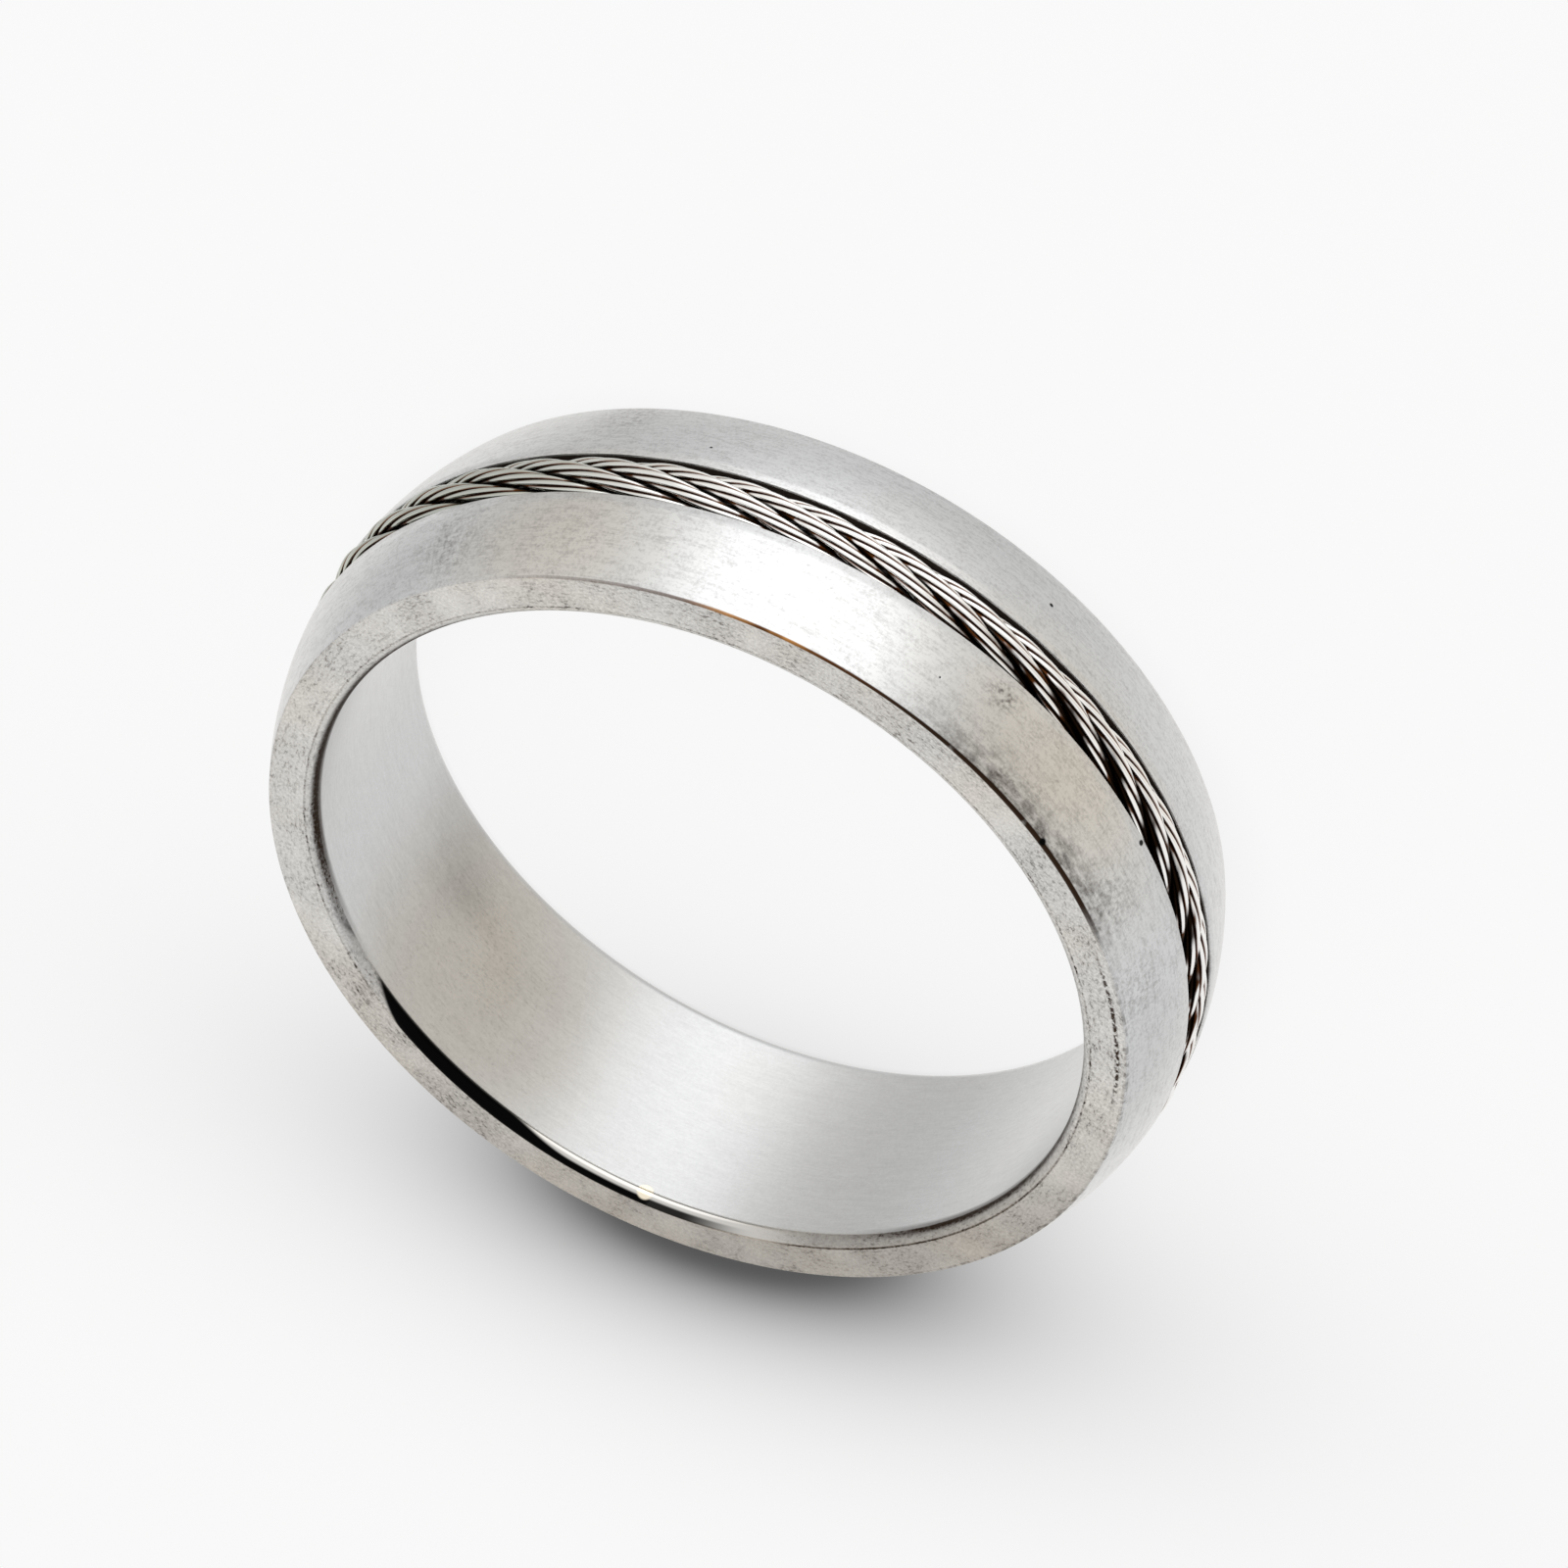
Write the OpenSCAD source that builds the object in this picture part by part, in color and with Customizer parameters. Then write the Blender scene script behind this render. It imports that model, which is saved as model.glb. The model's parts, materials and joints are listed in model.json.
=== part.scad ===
// Finger ring with a low domed band and a twisted wire rope laid in a groove round the outside.
// The ring lies on one flat side: the finger hole runs along Z, the base is at z = 0, and -Y is the front.
// All lengths are in millimetres and all angles in degrees.

/* [Band] */
// Inside diameter of the finger hole, a US size 9 1/2
finger_hole_d = 19.4; // [15:0.1:23]
// Width of the band along the finger
band_width = 6; // [4:0.1:9]
// Thickness of the flat sides, from the finger hole to the outer edge
side_thickness = 1.165; // [0.9:0.005:1.5]
// Height of the low dome between the outer edges and the middle of the band
dome_height = 0.631; // [0.3:0.001:0.9]
// Radius of the round on the two edges of the finger hole
inner_edge_round = 0.3; // [0.1:0.05:0.4]

/* [Rope] */
// Outside diameter of the laid rope
rope_d = 1.3; // [1:0.02:1.5]
// Height of the rope's top over the middle of the dome, at the front and back
rope_rise = 0.234; // [0:0.002:0.4]
// How much lower the rope lies at the two sides
rope_sink = 0.22; // [0:0.01:0.3]
// Play between the rope and the walls and floor of its groove
groove_play = 0.03; // [0.02:0.01:0.1]
// Space kept between neighbouring strands
strand_gap = 0.02; // [0.015:0.005:0.05]
// Space kept between the strands and the core
core_gap = 0.035; // [0.03:0.005:0.06]

/* [Lay of the rope] */
// Turns that the strands make about the core in one trip round the ring
lay_turns = 7; // [6:1:8]
// Unevenness of the lay, as the strands' largest lead or lag in degrees of turn
lay_wander = 50; // [0:1:60]
// Side of the ring on which the lay is most open, as an angle from +X
lay_open_side = -39.5; // [-180:0.5:180]
// Turn of the first strand about the core, where the rope passes +X
lay_start = 39.3; // [-180:0.1:180]
// Side of the ring on which the rope stands proud, as it does opposite, as an angle from +X
proud_side = -84; // [-180:1:180]

/* [Hidden] */
bore_r = finger_hole_d / 2;
side_r = bore_r + side_thickness;
crown_r = side_r + dome_height;
half_width = band_width / 2;

// The dome is one arc through both outer edges and the middle of the band.
dome_r = (dome_height * dome_height + half_width * half_width) / (2 * dome_height);
dome_centre_r = crown_r - dome_r;

// The rope's core runs round the ring at this radius where it stands proud. At the sides it lies lower, on the
// groove's floor. The sides start where the cosine of the angle from the proud side falls below sink_reach.
rope_r = crown_r + rope_rise - rope_d / 2;
rope_low_r = rope_r - rope_sink;
sink_reach = 0.64;
groove_width = rope_d + 2 * groove_play;
groove_floor_r = rope_low_r - rope_d / 2 - groove_play;

// Six strands lie round one core strand. Where the lay is tightest they lean most, and need most room.
strand_count = 6;
tightest_turns = lay_turns + lay_wander * PI / 180;
tightest_slope = atan(tightest_turns * rope_d / 3 / (rope_low_r - rope_d / 3));
lean = cos(tightest_slope) / 2;
strand_d = (rope_d * lean - strand_gap) / (1 + lean);
lay_r = (rope_d - strand_d) / 2;
core_d = 2 * (lay_r - strand_d / 2 - core_gap);

// Sections round the ring and sides round each strand.
strand_sections = 120;
core_sections = 60;
strand_sides = 8;

steel = [0.74, 0.74, 0.73];
wire_steel = [0.82, 0.81, 0.79];
facets = 96;

// The turn of strand n about the core where the rope is at angle t round the ring.
function lay_turn(n, t) =
    lay_start + n * 360 / strand_count - lay_turns * t + lay_wander * sin(t - lay_open_side);

// The strands' turn in radians for each radian round the ring.
function lay_rate(t) = lay_wander * PI / 180 * cos(t - lay_open_side) - lay_turns;

// The radius of the rope's core at angle t: it eases from rope_r down to rope_low_r at the two sides.
function rope_at(t) =
    let (low = max(0, 1 - abs(cos(t - proud_side)) / sink_reach))
    rope_r - rope_sink * low * low * (3 - 2 * low);

// A point at angle t round the ring, at radius r and height z.
function ring_point(t, r, z) = [r * cos(t), r * sin(t), z];

// Side j of strand n at angle t: an ellipse, because a leaning round strand is cut square to the ring.
function strand_point(n, t, j) =
    let (
        turn = lay_turn(n, t),
        core_r = rope_at(t),
        centre_r = core_r + lay_r * cos(turn),
        stretch = sqrt(1 + pow(lay_r * lay_rate(t) / centre_r, 2)),
        q = (j + 0.5) * 360 / strand_sides,
        out = lay_r + strand_d / 2 * cos(q),
        across = strand_d / 2 * stretch * sin(q)
    )
    ring_point(
        t,
        core_r + out * cos(turn) - across * sin(turn),
        half_width + out * sin(turn) + across * cos(turn)
    );

// Side j of the core at angle t.
function core_point(t, j) =
    let (q = (j + 0.5) * 360 / strand_sides)
    ring_point(t, rope_at(t) + core_d / 2 * cos(q), half_width + core_d / 2 * sin(q));

// Two triangles for each side of each section of a closed loop.
function loop_faces(sections) = [
    for (i = [0:sections - 1], j = [0:strand_sides - 1], half = [0, 1])
        let (
            i2 = (i + 1) % sections,
            j2 = (j + 1) % strand_sides,
            a = i * strand_sides + j,
            b = i2 * strand_sides + j,
            c = i2 * strand_sides + j2,
            d = i * strand_sides + j2
        )
        half == 0 ? [a, c, b] : [a, d, c]
];

// The band's section in the half plane of radius and height, before it is turned about the finger hole.
module band_section() {
    difference() {
        intersection() {
            union() {
                translate([bore_r + inner_edge_round, 0])
                    square([side_thickness + dome_height, band_width]);
                translate([bore_r, inner_edge_round])
                    square([side_thickness, band_width - 2 * inner_edge_round]);
                for (z = [inner_edge_round, band_width - inner_edge_round])
                    translate([bore_r + inner_edge_round, z])
                        circle(r = inner_edge_round, $fn = facets);
            }
            translate([dome_centre_r, half_width])
                circle(r = dome_r, $fn = facets);
        }
        translate([groove_floor_r, half_width - groove_width / 2])
            square([crown_r, groove_width]);
    }
}

// The band: flat sides, rounded edges at the finger hole, a low dome, and the groove round its middle.
module band() {
    color(steel)
        rotate_extrude($fn = facets)
            band_section();
}

// One strand of the rope, a closed loop that winds about the core.
module rope_strand(n) {
    color(wire_steel)
        polyhedron(
            points = [
                for (i = [0:strand_sections - 1], j = [0:strand_sides - 1])
                    strand_point(n, i * 360 / strand_sections, j)
            ],
            faces = loop_faces(strand_sections),
            convexity = 10
        );
}

// The rope's core strand, hidden under the six outer strands.
module rope_core() {
    color(wire_steel)
        polyhedron(
            points = [
                for (i = [0:core_sections - 1], j = [0:strand_sides - 1])
                    core_point(i * 360 / core_sections, j)
            ],
            faces = loop_faces(core_sections),
            convexity = 10
        );
}

band();
rope_core();
rope_strand(0);  // rope_strand_1
rope_strand(1);  // rope_strand_2
rope_strand(2);  // rope_strand_3
rope_strand(3);  // rope_strand_4
rope_strand(4);  // rope_strand_5
rope_strand(5);  // rope_strand_6
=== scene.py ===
# %% [markdown]
# # A finger ring with a wire rope round it
#
# The ring is a low domed band of stainless steel, 6 mm wide, with a square groove round its middle. A wire rope,
# 1.3 mm thick, lies in the groove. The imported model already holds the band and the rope's strands as plain solids at
# their real size. This lesson gives them the surfaces of the real ring: brushed and blasted steel, and bare wire.

# %% Load the frame
import json
import math
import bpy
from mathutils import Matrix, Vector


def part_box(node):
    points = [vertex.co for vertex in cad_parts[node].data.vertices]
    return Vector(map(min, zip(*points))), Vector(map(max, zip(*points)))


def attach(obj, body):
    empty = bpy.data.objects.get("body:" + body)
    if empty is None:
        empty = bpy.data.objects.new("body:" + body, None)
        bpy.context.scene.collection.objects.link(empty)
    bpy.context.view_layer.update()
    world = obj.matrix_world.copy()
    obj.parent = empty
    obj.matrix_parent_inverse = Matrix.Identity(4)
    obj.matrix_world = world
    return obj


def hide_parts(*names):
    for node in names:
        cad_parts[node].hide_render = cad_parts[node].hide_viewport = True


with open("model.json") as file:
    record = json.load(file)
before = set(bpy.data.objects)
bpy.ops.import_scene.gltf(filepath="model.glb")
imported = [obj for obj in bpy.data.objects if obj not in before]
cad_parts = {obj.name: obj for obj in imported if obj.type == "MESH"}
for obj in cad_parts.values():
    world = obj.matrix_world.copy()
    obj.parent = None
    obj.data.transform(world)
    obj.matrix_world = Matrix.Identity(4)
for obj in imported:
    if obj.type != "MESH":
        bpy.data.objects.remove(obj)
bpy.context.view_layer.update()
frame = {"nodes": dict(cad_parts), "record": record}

from types import SimpleNamespace

import bmesh
import bpy
from mathutils import Matrix, Vector

MM = 0.001
print("loaded", len(frame["nodes"]), "nodes")

# %% [markdown]
# ## Sizes
#
# Every size that follows is taken from the frame where the frame has it. The rest are the band's and the rope's own
# driving sizes in metres, so that each new piece lies exactly where its solid lies. The rope isn't even: its strands
# lead and lag on their way round the ring, and it stands proud at the front and back but lies lower at the two sides.

# %% Sizes of the band
mounts = {mount["name"]: mount for mount in frame["record"]["mounts"]}
band_low, band_high = (Vector(corner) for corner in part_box("band"))
band_width = band_high.z - band_low.z
half_width = band_width / 2
bore_r = mounts["finger_hole"]["dims"]["r_mm"] * MM
side_r = bore_r + 1.165 * MM
dome_height = 0.631 * MM
crown_r = side_r + dome_height
dome_r = (dome_height**2 + half_width**2) / (2 * dome_height)
dome_centre_r = crown_r - dome_r
hole_round = 0.3 * MM
print(f"hole {2 * bore_r / MM:.2f} mm, crown {2 * crown_r / MM:.2f} mm, width {band_width / MM:.2f} mm")

# %% Sizes of the rope and its groove
rope_d = 1.3 * MM
rope_rise = 0.234 * MM
rope_sink = 0.22 * MM
sink_reach = 0.64
groove_play = 0.03 * MM
strand_gap = 0.02 * MM
core_gap = 0.035 * MM
strand_count = 6
lay_turns = 7
lay_wander = math.radians(50)
lay_open_side = math.radians(-39.5)
lay_start = math.radians(39.3)
proud_side = math.radians(-84)

rope_r = crown_r + rope_rise - rope_d / 2
rope_low_r = rope_r - rope_sink
groove_half = rope_d / 2 + groove_play
groove_floor_r = rope_low_r - rope_d / 2 - groove_play
tightest_turns = lay_turns + lay_wander
tightest_slope = math.atan(tightest_turns * rope_d / 3 / (rope_low_r - rope_d / 3))
lean = math.cos(tightest_slope) / 2
strand_d = (rope_d * lean - strand_gap) / (1 + lean)
strand_lay_r = (rope_d - strand_d) / 2
core_d = 2 * (strand_lay_r - strand_d / 2 - core_gap)
print(f"groove {2 * groove_half / MM:.2f} mm wide, strand {strand_d / MM:.3f} mm thick")

# %% [markdown]
# ## Camera
#
# The camera looks down on the lying ring with a long lens, from the place that a fit to the ring's own edges gave. It
# is rolled by more than half a turn, because the real ring was seen standing on its edge. The same numbers would make
# a camera with a look-at constraint, but a matrix is exact and can be read back.

# %% Place the camera
camera_place = Vector((0, -255.17, 212.93)) * MM
camera_target = Vector((0.01, -2.73, 3)) * MM
camera_roll = math.radians(211.226)
sensor_width = 36
camera_lens = 325.06

camera_data = bpy.data.cameras.new("camera")
camera_data.sensor_width = sensor_width
camera_data.lens = camera_lens
camera_data.clip_start = 10 * MM
camera = bpy.data.objects.new("camera", camera_data)
bpy.context.scene.collection.objects.link(camera)
turn = (camera_target - camera_place).to_track_quat("-Z", "Y").to_matrix().to_4x4()
camera.matrix_world = Matrix.Translation(camera_place) @ turn @ Matrix.Rotation(camera_roll, 4, "Z")
bpy.context.scene.camera = camera
print(f"camera {(camera_target - camera_place).length / MM:.0f} mm away")

# %% [markdown]
# ## Shader nodes as expressions
#
# A material is a graph of nodes. Wiring each Math node by hand hides the idea, so one small class wraps an output
# socket and turns Python's operators into Math nodes. Any other node comes from its one method: the node's type, then
# its settings, then what its sockets get.

# %% A class for sockets
class Flow:
    """An output socket that can be added, multiplied and compared."""

    def __init__(self, socket):
        self.socket = socket
        self.tree = socket.id_data

    @staticmethod
    def node(tree, kind, settings=None, sockets=None, output=0):
        """Adds a node with its settings and inputs, and gives one of its outputs."""
        made = tree.nodes.new(kind)
        for name, value in (settings or {}).items():
            setattr(made, name, value)
        for key, value in (sockets or {}).items():
            if isinstance(value, Flow):
                tree.links.new(value.socket, made.inputs[key])
            else:
                made.inputs[key].default_value = value
        return Flow(made.outputs[output])

    def math(self, operation, *others):
        """A Math node that takes this socket first, then the others."""
        inputs = dict(enumerate((self, *others)))
        return Flow.node(self.tree, "ShaderNodeMath", {"operation": operation}, inputs)

    def __add__(self, other):
        return self.math("ADD", other)

    def __sub__(self, other):
        return self.math("SUBTRACT", other)

    def __mul__(self, other):
        return self.math("MULTIPLY", other)

    def __truediv__(self, other):
        return self.math("DIVIDE", other)

    __radd__ = __add__

    def __rsub__(self, other):
        return self.math("MULTIPLY", -1) + other

    def __abs__(self):
        return self.math("ABSOLUTE")

    def rise(self, start, end):
        """0 below start, 1 above end, and smooth between."""
        settings = {"interpolation_type": "SMOOTHSTEP"}
        sockets = {"Value": self, "From Min": start, "From Max": end}
        return Flow.node(self.tree, "ShaderNodeMapRange", settings, sockets)

    def fall(self, start, end):
        """1 below start, 0 above end, and smooth between."""
        return 1 - self.rise(start, end)


def limit(flow):
    """The same values, cut off below 0 and above 1."""
    return flow.math("MINIMUM", 1.0).math("MAXIMUM", 0.0)


def total(flows):
    """The sum of several flows."""
    return sum(flows[1:], start=flows[0])


def blend_colours(mask, first, second):
    """The first colour where the mask is 0, the second where it is 1."""
    sockets = {0: mask, 6: first, 7: second}
    return Flow.node(mask.tree, "ShaderNodeMix", {"data_type": "RGBA"}, sockets, output=2)


print("shader helpers ready")

# %% [markdown]
# ## Places on the ring
#
# Each finish on this ring belongs to a place on its section: the hole, the flat sides, the dome or the groove. So the
# materials read Object coordinates and work out the distance from the ring's axis, the height, and the side of the
# ring. No texture has to be unwrapped, and nothing slides when the camera moves.

# %% Coordinates for the ring's materials
def new_material(name):
    """A material with one Principled shader, and its tree and shader node."""
    material = bpy.data.materials.new(name)
    material.use_nodes = True
    shader = material.node_tree.nodes["Principled BSDF"]
    return material, material.node_tree, shader


def ring_places(tree):
    """Object coordinates as a point, x, y and z, with radius, the distance from the ring's axis."""
    point = Flow.node(tree, "ShaderNodeTexCoord", output=3)
    x, y, z = (Flow.node(tree, "ShaderNodeSeparateXYZ", sockets={0: point}, output=i) for i in range(3))
    return SimpleNamespace(point=point, x=x, y=y, z=z, radius=(x * x + y * y).math("SQRT"))


def around(theta, radius, height):
    """A point of the ring: theta runs from the front, -Y, towards +X, in degrees."""
    side = math.radians(theta - 90)
    return Vector((radius * math.cos(side), radius * math.sin(side), height))


def distance_to(at, place):
    """The distance of the shaded point from one place, in metres."""
    sockets = {0: at.point, 1: tuple(place)}
    return Flow.node(at.point.tree, "ShaderNodeVectorMath", {"operation": "DISTANCE"}, sockets, output=1)


print("places ready")

# %% Noise at the ring's own scales
def noise(vector, detail=2.0, roughness=0.5):
    """Noise from 0 to 1 with features about one unit of the vector wide."""
    sockets = {"Vector": vector, "Scale": 1.0, "Detail": detail, "Roughness": roughness}
    return Flow.node(vector.tree, "ShaderNodeTexNoise", {}, sockets)


def evenly(at, scale):
    """A vector for noise with one feature in each 1 / scale metres."""
    return Flow.node(at.point.tree, "ShaderNodeMapping", sockets={0: at.point, 3: (scale, scale, scale)})


def stretched(at, along_scale, across_scale):
    """A vector for noise that runs long round the ring and short across it."""
    sockets = {0: at.x * along_scale, 1: at.y * along_scale, 2: (at.z + at.radius) * across_scale}
    return Flow.node(at.point.tree, "ShaderNodeCombineXYZ", sockets=sockets)


print("noises ready")

# %% [markdown]
# ## Steel of the band
#
# The real band is one piece of stainless steel with several finishes. The dome and the hole are brushed round the
# ring. The flat sides are blasted, and show dark grains in patches. The round at the hole is worn dull, but for a
# stretch at the back, which is polished and carries a painted reflection: a black band beside a bright strip, with a
# painted glint where the strip meets the hole. The groove is painted dark below its bright lip, as shade. A dark brown
# line runs along the upper outer edge with a painted golden glint in it, and painted shade lies on the dome beside
# the front edge. A material for each finish would need a seam at each border. One material that picks its roughness,
# grain and stain by place has none, so that is used here.
# Brushed metal mirrors light in a streak across the brushing, which is the shader's anisotropy, turned by a quarter.

# %% Marks of wear on the band, and the place of a painted glint
def on_dome(theta, height):
    """A point on the dome's surface."""
    level = height * MM - half_width
    return around(theta, dome_centre_r + math.sqrt(dome_r**2 - level**2), height * MM)


def in_bore(theta, height):
    """A point on the wall of the finger hole."""
    return around(theta, bore_r, height * MM)


def spot(at, place, inner, outer):
    """1 within inner millimetres of a place, 0 beyond outer millimetres."""
    return distance_to(at, place).fall(inner * MM, outer * MM)


def spots(at, marks):
    """The sum of the spots that a list of marks gives."""
    return total([spot(at, *mark) for mark in marks])


# Each mark is a place, then the distances in millimetres at which it starts and stops to fade.
PITS = [
    (on_dome(-16, 1.05), 0.04, 0.07), (on_dome(-42, 3.80), 0.05, 0.09), (on_dome(-31.5, 5.95), 0.06, 0.12),
    (on_dome(28.5, 1.6), 0.02, 0.05), (on_dome(-9, 4.9), 0.01, 0.04),
]
WARM_CLOUDS = [
    (on_dome(42, 5.0), 0.3, 3.4), (on_dome(-22, 4.6), 0.5, 2.6), (on_dome(-33, 4.4), 0.3, 2.4),
    (in_bore(156, 3.4), 1.0, 5.0),
]
DARK_CLOUDS = [
    (on_dome(57, 4.9), 0.0, 1.5), (on_dome(42, 0.6), 0.0, 1.4), (on_dome(-44, 5.3), 0.0, 1.6),
    (on_dome(-58, 5.4), 0.0, 1.4), (on_dome(-16, 4.3), 0.2, 0.55), (on_dome(-16.5, 4.25), 0.1, 0.5),
]
SOFT_CLOUDS = [
    (in_bore(141, 0.7), 0.0, 2.4), (in_bore(146, 2.0), 0.0, 1.8), (in_bore(155, 3.2), 1.5, 5.0),
]
# The place of a painted glint: a bright warm spot on the round at the back of the hole.
GLINT_PLACE = around(-167, bore_r, band_width - 0.16 * MM)
print("marks:", len(PITS), "pits and", len(WARM_CLOUDS + DARK_CLOUDS + SOFT_CLOUDS), "clouds")

# %% Where each finish lies
STEEL = (0.70, 0.705, 0.705, 1)
WARM_STEEL = (0.69, 0.645, 0.58, 1)
# Dark brown for grime and dark marks, and also for the painted shade in the groove.
DARK_GRIME_AND_SHADE = (0.030, 0.017, 0.010, 1)
REDDISH_BROWN = (0.085, 0.032, 0.010, 1)
GOLDEN_GLINT = (0.42, 0.20, 0.06, 1)
BLACK = (0.003, 0.003, 0.003, 1)
GLINT_COLOUR = (1.0, 0.90, 0.72, 1)
border = 0.012 * MM
far_side = math.radians(130)
lip_r = dome_centre_r + math.sqrt(dome_r**2 - groove_half**2)


def band_finishes(at):
    """Masks for where each finish lies, and for how far back on the ring the place is."""
    level = abs(at.z - half_width)
    side = level.rise(half_width - border, half_width - border / 4)
    hole = at.radius.fall(bore_r + border / 4, bore_r + border)
    rim = at.radius.fall(bore_r + hole_round * 0.9, bore_r + hole_round) * (1 - hole)
    groove = level.fall(groove_half + border / 4, groove_half + border * 2) * (1 - hole)
    groove = groove * at.radius.fall(lip_r - 0.075 * MM, lip_r - 0.04 * MM)
    near_polish = spot(at, around(-178, bore_r, band_width), 4.2, 6.4)
    worn = rim * at.z.rise(half_width, band_width) * (1 - near_polish)
    back = at.x * math.cos(far_side) + at.y * math.sin(far_side)
    return SimpleNamespace(
        side=side, hole=hole, rim=rim, groove=groove, turned=(1 - rim) * (1 - side), blunt=side + worn,
        polished=rim * near_polish, far=back.rise(side_r * 0.3, side_r * 0.95),
    )


def band_texture(at):
    """Brush marks and grains, from wide clouds to the finest that the real steel shows."""
    return SimpleNamespace(
        streaks=noise(stretched(at, 1800, 26000), detail=4.0, roughness=0.75),
        mottle=noise(stretched(at, 2600, 9000), detail=3.0, roughness=0.6),
        bands=noise(stretched(at, 250, 5000), detail=2.0),
        flecks=noise(stretched(at, 6000, 13000), detail=4.0, roughness=0.75),
        clouds=noise(evenly(at, 300), detail=3.0),
        fleck_clouds=noise(evenly(at, 800), detail=2.0),
        grit=noise(evenly(at, 9000), detail=3.0),
        grains=noise(evenly(at, 13000), detail=3.0, roughness=0.7),
    )


print(f"finishes meet over {border / MM} mm")

# %% Dark lines, scratches, painted shade and a painted reflection along the edges
def edge_line(at):
    """A dark line along the outer edge of the upper flat side, thickest at the front."""
    right = at.x * -1
    off_edge = abs(at.radius - side_r).math("MAXIMUM", band_width - at.z)
    off_edge = off_edge - right.rise(0, side_r * 0.5) * 0.025 * MM
    front = (at.y * -1).rise(side_r * 0.62, side_r * 0.84) * (1 - at.x.rise(side_r * 0.2, side_r * 0.6) * 0.55)
    front = front.math("MAXIMUM", spot(at, around(-36, side_r, band_width), 1.0, 2.8))
    clumps = noise(evenly(at, 1500), detail=3.0).rise(0.15, 0.35) * 0.95
    specks = noise(evenly(at, 5000), detail=3.0).rise(0.46, 0.62)
    edge_marks = (front * clumps).math("MAXIMUM", right.rise(side_r * 0.7, side_r * 0.9) * 0.4 * specks)
    return off_edge.fall(0.03 * MM, 0.06 * MM) * (edge_marks + 0.05)


def edge_line_colour(at, texture):
    """Reddish brown at the left of the front and dark brown at the right, with a painted golden glint in the reddish
    brown.
    """
    colour = blend_colours((at.x * -1).rise(-side_r * 0.1, side_r * 0.15), REDDISH_BROWN, DARK_GRIME_AND_SHADE)
    # Painted glint: the golden stretch in the reddish brown line.
    golden_glint = spot(at, around(13, side_r, band_width), 0.4, 2.0) * texture.fleck_clouds.rise(0.45, 0.6)
    return blend_colours(golden_glint, colour, GOLDEN_GLINT)


def edge_shade(at, texture):
    """Painted shade on the dome beside the front edge, densest at the edge itself, mottled like a haze."""
    haze = spot(at, around(-29, side_r, band_width), 1.4, 4.6) * at.z.rise(band_width - 0.9 * MM, band_width)
    return haze * (texture.mottle.rise(0.35, 0.65) * 1.4 + 0.7)


def side_scratch(at, on, texture):
    """A broken dark scratch on the upper flat side, at the right."""
    beside = abs(at.radius - bore_r - 0.93 * MM).fall(0.02 * MM, 0.08 * MM)
    near = spot(at, around(-63, side_r, band_width), 1.4, 3.0)
    return beside * near * on.side * texture.grit.rise(0.42, 0.55)


def bore_line(at):
    """A thin dark line where the upper round meets the hole, on the left and on the right."""
    high = at.z.rise(band_width - 0.45 * MM, band_width - 0.3 * MM)
    left = spot(at, around(90, bore_r, band_width), 4.0, 9.0)
    left = left * at.radius.fall(bore_r + 0.04 * MM, bore_r + 0.17 * MM)
    right = spot(at, around(-100, bore_r, band_width), 3.0, 6.5)
    right = right * at.radius.fall(bore_r + 0.02 * MM, bore_r + 0.12 * MM)
    return high * (left * 0.85 + right * 0.6)


def painted_round_reflection(at, on):
    """A painted reflection of a black card on the round at the hole: a black band that tapers at both ends, beside a
    bright strip.
    """
    place = (at.radius - bore_r) / hole_round
    from_left = distance_to(at, around(139, bore_r, band_width)) / MM
    outer_end = from_left.rise(0.1, 2.7) * 1.3
    inner_end = from_left.rise(5.3, 7.1) * 0.34
    black = place.rise(inner_end - 0.08, inner_end + 0.08) * (1 - place.rise(outer_end - 0.25, outer_end))
    band = spot(at, around(165, bore_r, band_width), 4.8, 5.9)
    tail = spot(at, around(-167, bore_r, band_width), 1.0, 3.0) * 0.97
    return black * band.math("MAXIMUM", tail) * on.rim


print("dirt ready")

# %% Stain, painted shade, warmth, darkness and relief
BRUSH_WEIGHTS = {"streaks": 0.6, "mottle": 0.5, "bands": 0.16, "grains": 0.75}


def band_stains_and_shade(at, texture):
    """Masks for warm, dark and hazy clouds, for the painted shade beside the front edge, and for pits."""
    warm = spots(at, WARM_CLOUDS) * (texture.clouds * 0.8 + 0.3)
    # The dark clouds are smudges; the edge term added to them is painted shade.
    smudges_and_shade = spots(at, DARK_CLOUDS) * (texture.grit.rise(0.40, 0.72) + texture.clouds * 0.3)
    smudges_and_shade = smudges_and_shade + edge_shade(at, texture) + limit(warm) * texture.flecks.rise(0.50, 0.70) * 0.8
    haze = spots(at, SOFT_CLOUDS) * (texture.clouds * 0.8 + 0.1)
    return SimpleNamespace(warm=warm, smudges_and_shade=smudges_and_shade, haze=haze, pits=spots(at, PITS))


def band_warmth(on, texture, stains):
    """How warm the steel's colour is, from 0 to 1."""
    warm = stains.warm * 0.7 + texture.clouds.rise(0.5, 0.75) * 0.08 + on.blunt * (on.far * 0.5 + 0.15)
    return limit(warm + on.polished * 0.5 + (texture.clouds - 0.5) * on.side * 0.9)


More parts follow.
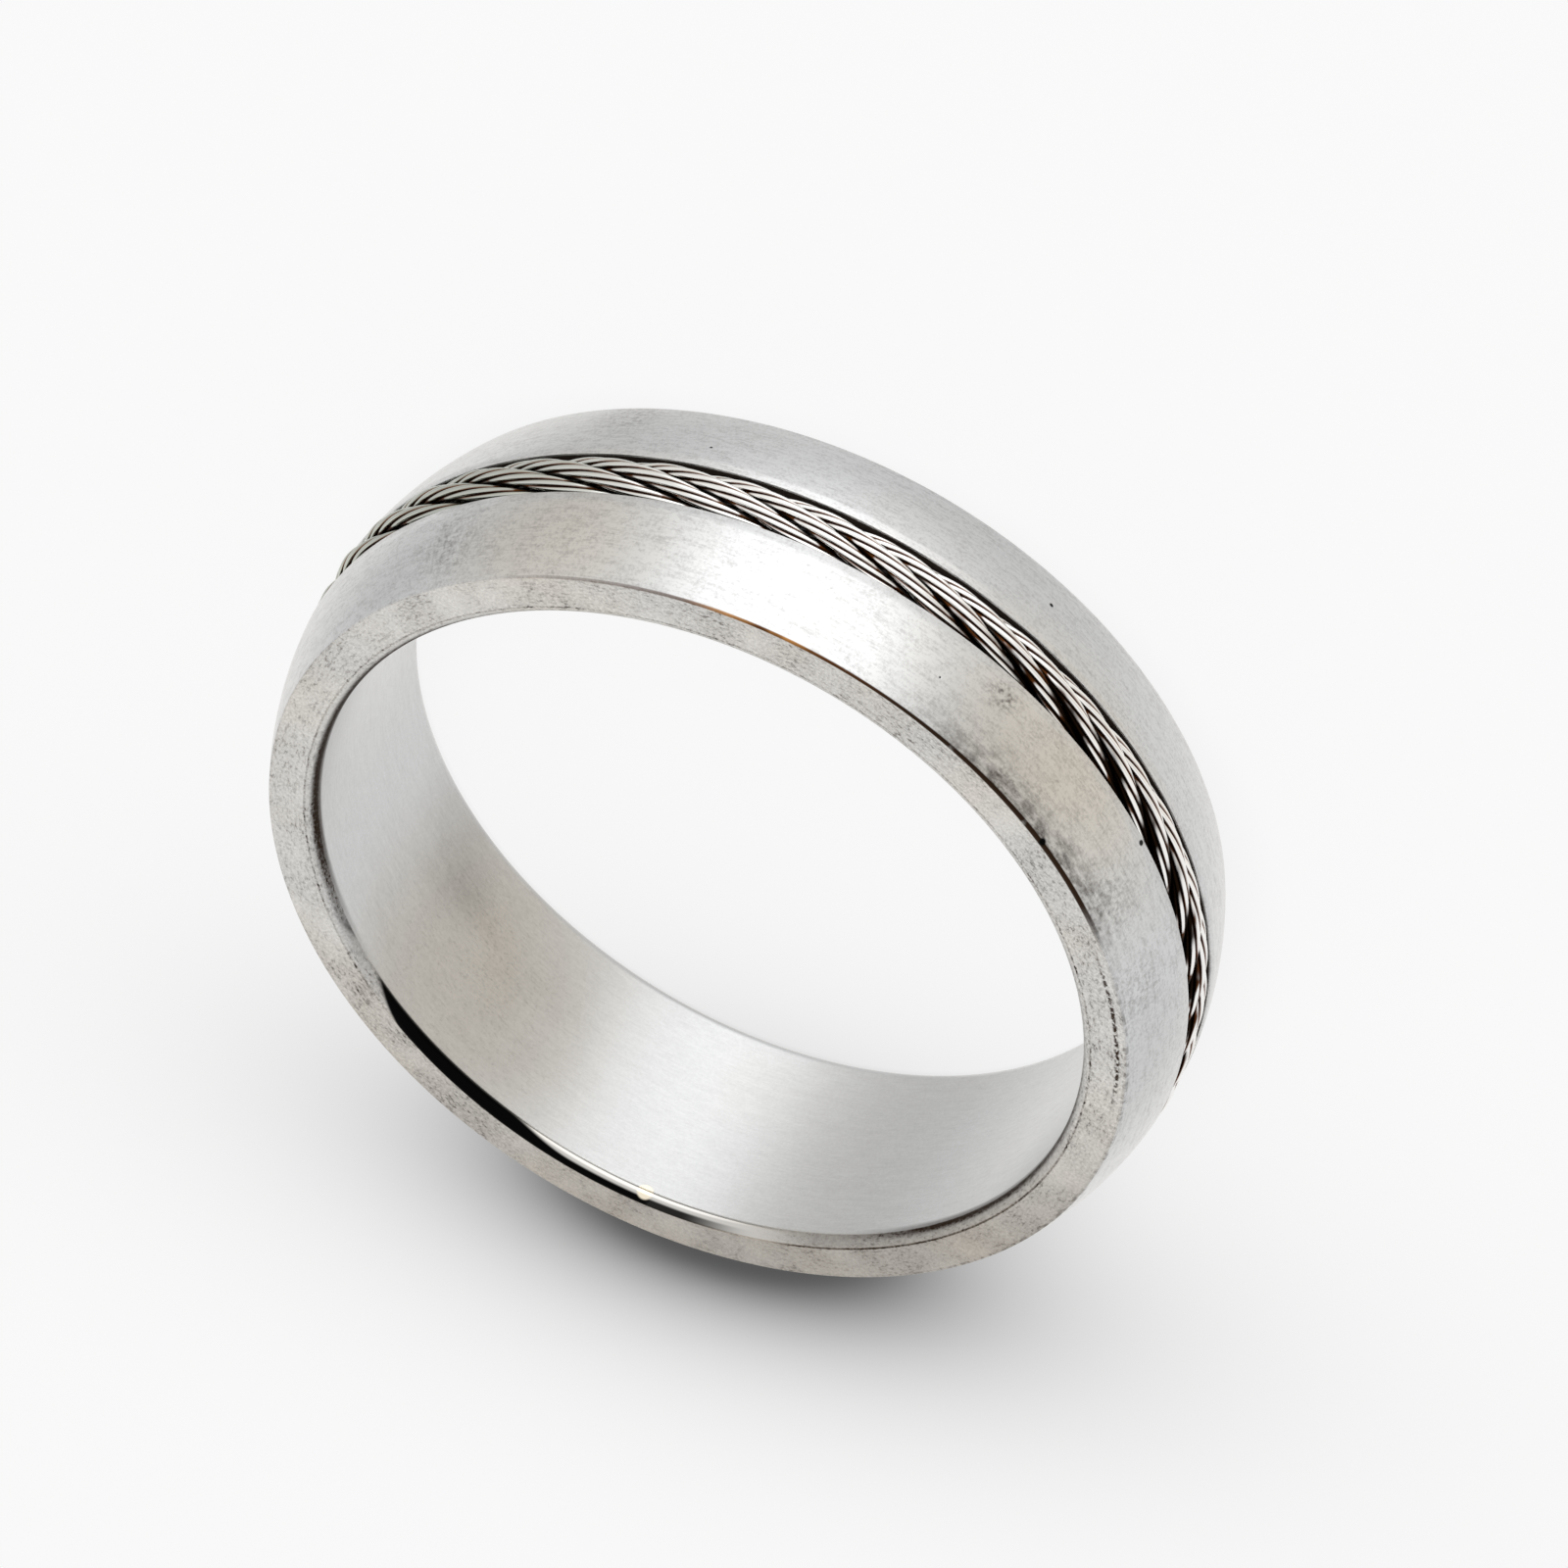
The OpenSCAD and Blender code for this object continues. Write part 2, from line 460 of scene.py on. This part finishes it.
def band_darkness(at, on, texture, stains):
    """How dark the steel is, from 0 to 1: brush marks, blasted grains, stains, smudges, lines and scratches, darker
    towards the back, and the painted shade beside the front edge.
    """
    brushed = total([(getattr(texture, name) - 0.5) * weight for name, weight in BRUSH_WEIGHTS.items()])
    blasted = texture.flecks.rise(0.47, 0.72) * texture.fleck_clouds.rise(0.25, 0.65) * 0.7
    blasted = blasted + (texture.grains - 0.5) * 0.9
    blasted = blasted * (1 - on.far * 0.5) * (1 - at.x.rise(side_r * 0.3, side_r * 0.9) * 0.25)
    dark = 0.06 + brushed * on.turned * (1 - on.hole * 0.7) + (blasted + on.far * 0.30 + 0.10) * on.blunt
    dark = dark + (texture.fleck_clouds - 0.5) * on.side * 0.35
    dark = dark + stains.smudges_and_shade * 0.3 * on.turned + stains.haze * 0.32
    return limit(dark + bore_line(at) + side_scratch(at, on, texture) * 0.8)


def band_relief(at, on, texture, stains):
    """Heights for the bump: brush marks, blasted grains, the groove's worn lip, and pits."""
    lip = abs(at.z - half_width).fall(groove_half, groove_half + 0.28 * MM) * (1 - on.hole) * 22
    turned = (texture.streaks * 0.6 + texture.grains * 0.5 - lip) * on.turned
    return turned + texture.grains * on.side * 3.0 - stains.pits * 4


print("brushed steel mixes", len(BRUSH_WEIGHTS), "noises")

# %% Steel of the band
def band_colour(at, on, texture, stains):
    """The steel's colour, from its own tone to the marks that lie on it, with painted shade, a painted reflection and
    a painted glint.
    """
    colour = blend_colours(band_warmth(on, texture, stains), STEEL, WARM_STEEL)
    colour = blend_colours(band_darkness(at, on, texture, stains), colour, DARK_GRIME_AND_SHADE)
    colour = blend_colours(edge_line(at), colour, edge_line_colour(at, texture))
    # Painted reflection: a black band on the polished round at the back of the hole, for a mirrored black card.
    colour = blend_colours(painted_round_reflection(at, on), colour, BLACK)
    # Painted shade: below its bright lip the groove is painted near black, for the shade inside it.
    colour = blend_colours(on.groove * 0.97, colour, DARK_GRIME_AND_SHADE)
    colour = blend_colours(limit(stains.pits), colour, BLACK)
    # Painted glint: the warm white spot on the round at the back of the hole.
    return blend_colours(spot(at, GLINT_PLACE, 0.16, 0.23), colour, GLINT_COLOUR)


def band_roughness(on, texture):
    """Brushed steel is middling rough, blasted steel rougher, the groove roughest, and the polish smooth."""
    brushed = 0.34 + (texture.streaks - 0.5) * 0.12 * (1 - on.rim)
    return brushed + on.blunt * 0.16 + on.groove * 0.4 - on.polished * 0.27


def add_bump(tree, shader, height, distance):
    """Gives the shader a bump whose height of 1 stands for the distance given."""
    bump = Flow.node(tree, "ShaderNodeBump", sockets={"Height": height, "Distance": distance, "Strength": 1.0})
    tree.links.new(bump.socket, shader.inputs["Normal"])


def band_steel():
    """The band's one material."""
    material, tree, shader = new_material("band_steel")
    at = ring_places(tree)
    on = band_finishes(at)
    texture = band_texture(at)
    stains = band_stains_and_shade(at, texture)
    tree.links.new(band_colour(at, on, texture, stains).socket, shader.inputs["Base Color"])
    tree.links.new(band_roughness(on, texture).socket, shader.inputs["Roughness"])
    shader.inputs["Metallic"].default_value = 1.0
    shader.inputs["Anisotropic"].default_value = 0.5
    shader.inputs["Anisotropic Rotation"].default_value = 0.25
    add_bump(tree, shader, band_relief(at, on, texture, stains), 1.5e-6)
    return material


steel = band_steel()
print("band steel has", len(steel.node_tree.nodes), "nodes")

# %% [markdown]
# ## Band
#
# On the lathe the band is a turned part, and Blender's Spin does the same: half of the section is drawn as a few
# points and one arc, its corners are rounded, it is mirrored about the middle, and then spun once round the axis. A
# cylinder with loop cuts would give the same shape with more steps and no true arc.

# %% Draw and spin the band
def draw_chain(bm, points):
    """Joins the points (radius, height) with edges and gives their vertices."""
    vertices = [bm.verts.new((r, 0, z)) for r, z in points]
    for first, second in zip(vertices, vertices[1:]):
        bm.edges.new((first, second))
    return vertices


def round_corner(bm, vertex, size, segments):
    """Rounds one corner of a chain of edges."""
    bmesh.ops.bevel(
        bm, geom=[vertex], offset=size, offset_type="OFFSET", segments=segments,
        profile=0.5, affect="VERTICES", material=-1,
    )


def make_object(name, bm, material):
    """Turns the bmesh into an object at the origin with one material and smooth faces."""
    for face in bm.faces:
        face.smooth = True
    mesh = bpy.data.meshes.new(name)
    bm.to_mesh(mesh)
    bm.free()
    mesh.materials.append(material)
    piece = bpy.data.objects.new(name, mesh)
    bpy.context.scene.collection.objects.link(piece)
    return piece


def draw_half_section(bm):
    """The lower half of the band's section, from the hole round to the groove's floor."""
    corner_round = 0.02 * MM
    lip_round = 0.03 * MM
    past_round = hole_round * 1.05
    lip_angle = math.asin(groove_half / dome_r)
    edge_angle = math.asin(half_width / dome_r)
    inside = draw_chain(bm, [
        (bore_r, half_width),
        (bore_r, past_round),
        (bore_r, 0),
        (bore_r + past_round, 0),
        (side_r - corner_round * 2, 0),
        (side_r, 0),
    ])
    arc = bmesh.ops.spin(
        bm, geom=[inside[-1]], cent=(dome_centre_r, 0, half_width), axis=(0, -1, 0),
        angle=edge_angle - lip_angle, steps=24, use_duplicate=False,
    )
    lip = next(item for item in arc["geom_last"] if isinstance(item, bmesh.types.BMVert))
    low = half_width - groove_half
    wall_foot = bm.verts.new((groove_floor_r, 0, low))
    floor_middle = bm.verts.new((groove_floor_r, 0, half_width))
    bm.edges.new((lip, wall_foot))
    bm.edges.new((wall_foot, floor_middle))
    round_corner(bm, inside[2], hole_round, segments=10)
    round_corner(bm, lip, lip_round, segments=5)
    for corner in (inside[5], wall_foot):
        round_corner(bm, corner, corner_round, segments=3)


def make_band(steps=512):
    """The whole section, spun once round the axis and joined to itself."""
    bm = bmesh.new()
    draw_half_section(bm)
    middle = Matrix.Translation((0, 0, -half_width))
    never = -1
    bmesh.ops.mirror(bm, geom=bm.verts[:] + bm.edges[:], matrix=middle, merge_dist=never, axis="Z")
    bmesh.ops.remove_doubles(bm, verts=bm.verts, dist=1e-7)
    bmesh.ops.spin(
        bm, geom=bm.verts[:] + bm.edges[:], cent=(0, 0, 0), axis=(0, 0, 1),
        angle=math.tau, steps=steps, use_merge=True, use_duplicate=False,
    )
    bmesh.ops.recalc_face_normals(bm, faces=bm.faces)
    open_edges = sum(not edge.is_manifold for edge in bm.edges)
    print("band:", len(bm.faces), "faces,", open_edges, "open edges,", round(bm.calc_volume() / MM**3, 1), "mm3")
    return make_object("band_turned", bm, steel)


band = make_band()
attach(band, "root")
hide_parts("band")

# %% [markdown]
# ## Wire steel
#
# The rope is bright drawn wire. It shines where it stands out of the groove. It is brown between the wires. Between
# the strands, low in the groove and on the rope's upper half at the right it is nearly black: partly polishing dust
# and old grease, and partly painted shade of these crevices. Two distances tell these places apart, so no texture has
# to be
# drawn: the one from the rope's own middle line, and the one from the strand's, which every vertex of a strand carries
# as its attribute "crest". The wires at the left are duller than the rest.

# %% Wire steel
WIRE = (1.0, 0.99, 0.97, 1)
WIRE_DULL = (0.50, 0.52, 0.47, 1)
WIRE_AMBER = (0.13, 0.042, 0.010, 1)
WIRE_GRIME_AND_SHADE = (0.012, 0.006, 0.003, 1)


def wire_grime_and_shade_masks(at):
    """Masks for grime and painted shade between the strands, low in the groove and on the rope's upper half at the
    right, and for amber between the wires, both from 0 to 1.
    """
    proud = abs(at.x * math.cos(proud_side) + at.y * math.sin(proud_side)) / at.radius
    out = at.radius - rope_r + proud.fall(0, sink_reach) * rope_sink
    level = at.z - half_width
    depth = (out * out + level * level).math("SQRT")
    right = at.x * -1
    hidden = level.rise(-rope_d * 0.25, rope_d * 0.35) * (right.rise(side_r * 0.1, side_r * 0.5) * 0.05 + 0.02)
    between_strands = (depth - hidden * rope_d).fall(rope_d * 0.31, rope_d * 0.38)
    low = out.fall(-rope_d * 0.15, rope_d * 0.12)
    # Painted shade: the rope's upper half at the right is painted nearly black.
    upper_right_shade = depth.fall(rope_d * 0.44, rope_d * 0.49) * right.rise(0, side_r * 0.45) * level.rise(0, rope_d * 0.25)
    grime_and_shade = limit(between_strands * 0.85 + low * 0.5 + upper_right_shade)
    crest = Flow.node(at.point.tree, "ShaderNodeAttribute", {"attribute_name": "crest"}, output=2)
    stains = noise(evenly(at, 1500), detail=2.0)
    amber = limit(crest.fall(0.80, 0.935) * 0.9 + grime_and_shade.rise(0.05, 0.4) * stains.rise(0.40, 0.60))
    return grime_and_shade, amber


def wire_steel():
    """The one material of all the wires."""
    material, tree, shader = new_material("wire_steel")
    at = ring_places(tree)
    grime_and_shade, amber = wire_grime_and_shade_masks(at)
    draw_lines = noise(stretched(at, 900, 30000), detail=2.0)
    colour = blend_colours(at.x.rise(side_r * 0.35, side_r * 0.95), WIRE, WIRE_DULL)
    # Grime and painted shade: the crevices between the strands are painted nearly black.
    colour = blend_colours(grime_and_shade, blend_colours(amber, colour, WIRE_AMBER), WIRE_GRIME_AND_SHADE)
    tree.links.new(colour.socket, shader.inputs["Base Color"])
    rough = 0.14 + grime_and_shade * 0.3 + amber * 0.1 + draw_lines * 0.05
    tree.links.new(rough.socket, shader.inputs["Roughness"])
    shader.inputs["Metallic"].default_value = 1.0
    add_bump(tree, shader, draw_lines, 0.5e-6)
    return material


wire = wire_steel()
print("wire steel has", len(wire.node_tree.nodes), "nodes")

# %% [markdown]
# ## Wire rope
#
# Each of the rope's seven strands is six wires twisted round a seventh: 49 wires in all. A wire is a round tube along
# a path, so it is a closed curve with a bevel depth, whose points come from two turns: the strand's about the rope,
# and the wire's about the strand. The array and twist modifiers could do it too, but they can't follow an uneven lay,
# nor a rope that lies deeper in its groove at the two sides of the ring.

# %% Paths of the strands
def lay_turn(strand, side):
    """The turn of a strand about the core where the rope is at angle side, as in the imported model."""
    start = lay_start + strand * math.tau / strand_count
    return start - lay_turns * side + lay_wander * math.sin(side - lay_open_side)


def rope_at(side):
    """The radius of the rope's core: it eases down to the groove's floor at the two sides of the ring."""
    low = max(0, 1 - abs(math.cos(side - proud_side)) / sink_reach)
    return rope_r - rope_sink * low**2 * (3 - 2 * low)


def strand_point(strand, side):
    """The middle of a strand. Strand None is the rope's core."""
    reach = 0 if strand is None else strand_lay_r
    turned = 0 if strand is None else lay_turn(strand, side)
    r = rope_at(side) + reach * math.cos(turned)
    return Vector((r * math.cos(side), r * math.sin(side), half_width + reach * math.sin(turned)))


def strand_frame(strand, side):
    """A strand's middle, with its two cross directions: away from the core, and across."""
    step = 1e-3
    middle = strand_point(strand, side)
    ahead = (strand_point(strand, side + step) - strand_point(strand, side - step)).normalized()
    away = Vector((math.cos(side), math.sin(side), 0)) if strand is None else middle - strand_point(None, side)
    away = (away - away.dot(ahead) * ahead).normalized()
    return middle, away, ahead.cross(away)


print(f"the rope's middle runs {rope_low_r / MM:.2f} to {rope_r / MM:.2f} mm from the axis")

# %% Paths of the wires
wires_round = 6
wire_turns = 20
wire_sections = 480


def wire_sizes(thickness):
    """Thickness of a wire, and the radius on which six of them lie round the seventh."""
    slope = math.atan(wire_turns * thickness / 3 / rope_r)
    wire_lean = math.cos(slope) / 2
    wire_d = thickness * wire_lean / (1 + wire_lean)
    return wire_d, (thickness - wire_d) / 2


def wire_paths(frames, wire_lay_r, phase):
    """The middle lines of a strand's wires: the one in the middle, then the six round it."""
    paths = [[middle for middle, away, across in frames]]
    for number in range(wires_round):
        points = []
        for i, (middle, away, across) in enumerate(frames):
            q = phase + number * math.tau / wires_round - wire_turns * i * math.tau / wire_sections
            points.append(middle + wire_lay_r * (math.cos(q) * away + math.sin(q) * across))
        paths.append(points)
    return paths


print(wire_sections, "points in each of a strand's", wires_round + 1, "wires")

# %% Lay the strands
phase_step = 0.37
core_phase = 0.2


def draw_tubes(name, paths, thickness):
    """A closed round tube along each path, all in one bmesh."""
    curve = bpy.data.curves.new(name + "_path", "CURVE")
    curve.dimensions = "3D"
    curve.bevel_depth = thickness / 2
    curve.bevel_resolution = 3
    for points in paths:
        spline = curve.splines.new("POLY")
        spline.points.add(len(points) - 1)
        for target, place in zip(spline.points, points):
            target.co = (*place, 1)
        spline.use_cyclic_u = True
    guide = bpy.data.objects.new(name + "_path", curve)
    bpy.context.scene.collection.objects.link(guide)
    bpy.context.view_layer.update()
    solid = guide.evaluated_get(bpy.context.evaluated_depsgraph_get())
    bm = bmesh.new()
    bm.from_mesh(solid.to_mesh())
    solid.to_mesh_clear()
    bpy.data.objects.remove(guide)
    bpy.data.curves.remove(curve)
    return bm


def mark_crests(piece, frames, thickness):
    """Stores at each vertex how far it lies from its strand's middle: 1 on the strand's outside."""
    mesh = piece.data
    crest = mesh.attributes.new("crest", "FLOAT", "POINT")
    for vertex in mesh.vertices:
        side = math.atan2(vertex.co.y, vertex.co.x) % math.tau
        middle, away, across = frames[round(side / math.tau * wire_sections) % wire_sections]
        off = vertex.co - middle
        crest.data[vertex.index].value = math.hypot(off.dot(away), off.dot(across)) / (thickness / 2)


def lay_strand(name, strand, thickness, phase):
    """Six wires round a seventh, as one mesh."""
    wire_d, wire_lay_r = wire_sizes(thickness)
    frames = [strand_frame(strand, i * math.tau / wire_sections) for i in range(wire_sections)]
    piece = make_object(name, draw_tubes(name, wire_paths(frames, wire_lay_r, phase), wire_d), wire)
    mark_crests(piece, frames, thickness)
    return piece


strands = []
for number in range(strand_count):
    piece = lay_strand(f"rope_wires_{number + 1}", number, strand_d, number * phase_step)
    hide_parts(f"rope_strand_{number + 1}")
    strands.append(piece)
core = lay_strand("rope_wires_core", None, core_d, core_phase)
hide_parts("rope_core")
for piece in strands + [core]:
    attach(piece, "root")
print("rope:", sum(len(piece.data.polygons) for piece in strands + [core]), "faces")

# %% [markdown]
# ## Floor and light
#
# The ring is photographed on white paper in an even, bright light. The floor glows a little, so it stays white inside
# the hole, and it doesn't show in the steel as a mirror image. The soft shadow behind the ring is painted in the
# floor's material and joins the band's back, because a lamp would cast it elsewhere with the ring lying down. Metal
# shows nothing but its surroundings, so the studio is painted on the sky by direction: pale all round, with a bright
# lamp low in front, a bright card behind, a small card at one side, and dim patches that give the steel its darker
# stretches.

# %% Lay the floor
shadow_middle = Vector((-4.2, 16.0)) * MM
shadow_turn = math.radians(26.3)
shadow_reach = Vector((3.23, 1.76)) * MM
shadow_power = 0.868
shadow_strength = 3.07
shadow_darkest = 0.90
paper_white = 0.05
paper_glow = 0.868
floor_r = 1.5


def floor_shadow(at):
    """A soft shadow behind the ring. It falls off in an ellipse, and starts under the band."""
    off_x = at.x - shadow_middle.x
    off_y = at.y - shadow_middle.y
    along = (off_x * math.cos(shadow_turn) + off_y * math.sin(shadow_turn)) / shadow_reach.x
    across = (off_y * math.cos(shadow_turn) - off_x * math.sin(shadow_turn)) / shadow_reach.y
    behind = at.radius.rise(bore_r, side_r) * at.y.rise(side_r * 0.3, side_r * 0.8)
    behind = behind * abs(off_x).fall(4 * MM, 9 * MM)
    across = across.math("MAXIMUM", 0) + across.math("MINIMUM", 0) * (1 - behind * 0.85)
    away = (along * along + across * across).math("SQRT")
    dark = (away.math("POWER", shadow_power) * -1).math("EXPONENT") * shadow_strength
    return dark.math("SMOOTH_MIN", shadow_darkest, 0.35)


def make_floor():
    """A disc of paper without gloss, wide enough to fill the view."""
    material, tree, shader = new_material("floor_paper")
    light = 1 - floor_shadow(ring_places(tree))
    for socket, share in (("Base Color", paper_white), ("Emission Color", paper_glow)):
        grey = Flow.node(tree, "ShaderNodeCombineXYZ", sockets={i: light * share for i in range(3)})
        tree.links.new(grey.socket, shader.inputs[socket])
    shader.inputs["Emission Strength"].default_value = 1.0
    shader.inputs["Roughness"].default_value = 1.0
    shader.inputs["Specular IOR Level"].default_value = 0.0
    bm = bmesh.new()
    bmesh.ops.create_circle(bm, cap_ends=True, segments=96, radius=floor_r)
    floor = make_object("floor", bm, material)
    floor.visible_glossy = False
    return floor


floor = make_floor()
print(f"floor {2 * floor_r:.0f} m across")

# %% Paint the studio
# Each patch: azimuth, elevation, the angles at which it starts and stops to fade, all in degrees, and its share.
LAMPS = [(17, 2, 17, 37, 1.0), (18, -30, 10, 36, 0.7)]
BACK_CARDS = [(180, 34, 12, 36, 1.0), (180, -42, 20, 58, 0.42)]
SIDE_CARDS = [(124, -38, 4, 18, 0.16)]
DIM_PATCHES = [
    (96, -28, 15, 38, 0.20), (-36, 10, 8, 30, 0.22), (90, -74, 8, 36, 0.16), (-40, -76, 8, 28, 0.12),
    (0, -38, 4, 22, 0.13), (125, -18, 5, 22, 0.13), (-125, -18, 5, 22, 0.13),
]
WARM_PATCHES = [(-45, -20, 5, 48, 1.0), (70, -10, 5, 35, 0.7)]
WHITE = (1, 1, 1, 1)
WARM_WHITE = (1, 0.95, 0.87, 1)
sky_glow = 0.88
sky_seen = 0.94


def toward(azimuth, elevation):
    """A direction: azimuth from the front, -Y, towards +X, and elevation over the floor, in degrees."""
    a, e = math.radians(azimuth), math.radians(elevation)
    return Vector((math.sin(a) * math.cos(e), -math.cos(a) * math.cos(e), math.sin(e)))


def patch(direction, azimuth, elevation, inner, outer, share):
    """The share given within inner degrees of a direction, and 0 beyond outer degrees."""
    sockets = {0: direction, 1: tuple(toward(azimuth, elevation))}
    near = Flow.node(direction.tree, "ShaderNodeVectorMath", {"operation": "DOT_PRODUCT"}, sockets, output=1)
    return near.rise(math.cos(math.radians(outer)), math.cos(math.radians(inner))) * share


def paint_studio():
    """The sky: patches of light and shade for the steel to mirror, and plain white for the camera."""
    world = bpy.data.worlds.new("studio")
    world.use_nodes = True
    tree = world.node_tree
    direction = Flow.node(tree, "ShaderNodeTexCoord", output=0)
    rows = (LAMPS, BACK_CARDS, SIDE_CARDS, DIM_PATCHES, WARM_PATCHES)
    lamps, back, side, dim, warm = (total([patch(direction, *row) for row in group]) for group in rows)
    glow = (sky_glow + lamps * 0.76 + back * 0.38 + side) * (1 - dim).math("MAXIMUM", 0.02)
    colour = blend_colours(limit(warm + back * 0.6), WHITE, WARM_WHITE)
    seen = Flow.node(tree, "ShaderNodeLightPath", output=0)
    strength = seen * sky_seen + (1 - seen) * glow
    background = tree.nodes["Background"]
    tree.links.new(strength.socket, background.inputs["Strength"])
    tree.links.new(blend_colours(seen, colour, WHITE).socket, background.inputs["Color"])
    world.cycles.sampling_method = "NONE"
    bpy.context.scene.world = world
    print("studio painted with", len(tree.nodes), "nodes")


paint_studio()

# %% Hang a soft lamp
# The lamp lights the paper alone, and adds the ring's own faint shadow to the painted one.
lamp_data = bpy.data.lights.new("key_lamp", "AREA")
lamp_data.shape = "DISK"
lamp_data.size = 200 * MM
lamp_data.energy = 1.2
lamp = bpy.data.objects.new("key_lamp", lamp_data)
bpy.context.scene.collection.objects.link(lamp)
lamp_place = toward(20, 72) * 400 * MM
lamp.matrix_world = Matrix.Translation(lamp_place) @ (-lamp_place).to_track_quat("-Z", "Y").to_matrix().to_4x4()
lamp.visible_glossy = False
bpy.context.scene.view_settings.view_transform = "Standard"
print("studio lit")
